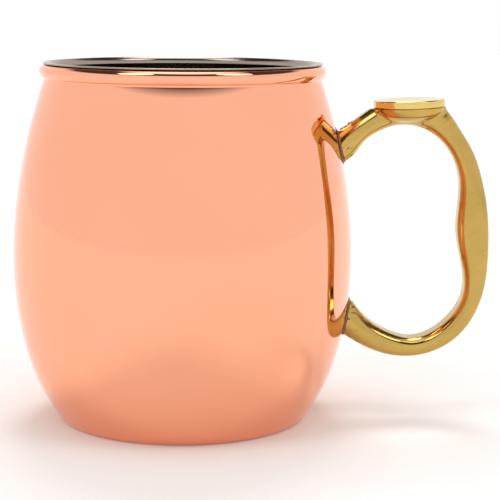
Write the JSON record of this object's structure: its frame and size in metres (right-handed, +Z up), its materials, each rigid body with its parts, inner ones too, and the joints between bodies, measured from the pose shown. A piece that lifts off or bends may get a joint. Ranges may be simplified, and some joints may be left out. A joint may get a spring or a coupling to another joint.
{
  "type": "mug",
  "caption": "Barrel-shaped polished copper mug with a rolled rim, a steel lining and a cast brass loop handle with a round thumb rest.",
  "frame": {"origin": "centre of the flat base on the barrel's axis, in the plane the mug stands on", "axes": "+Z up along the barrel's axis, +X from the barrel towards the handle, +Y across the handle to make the frame right-handed"},
  "size_m": [0.1264, 0.09, 0.0946],
  "materials": {
    "copper": "mirror polished spun copper sheet",
    "steel": "satin spun stainless steel",
    "cast_brass": "cast brass, belt ground and buffed",
    "turned_brass": "turned and buffed brass",
    "braze_filler": "heat stained filler metal"
  },
  "bodies": {
    "root": {"outer_shell": "copper", "lining_cup": "steel", "handle": "cast_brass", "thumb_rest": "turned_brass", "upper_brazed_joint": "braze_filler", "lower_brazed_joint": "braze_filler"}
  },
  "joints": []
}
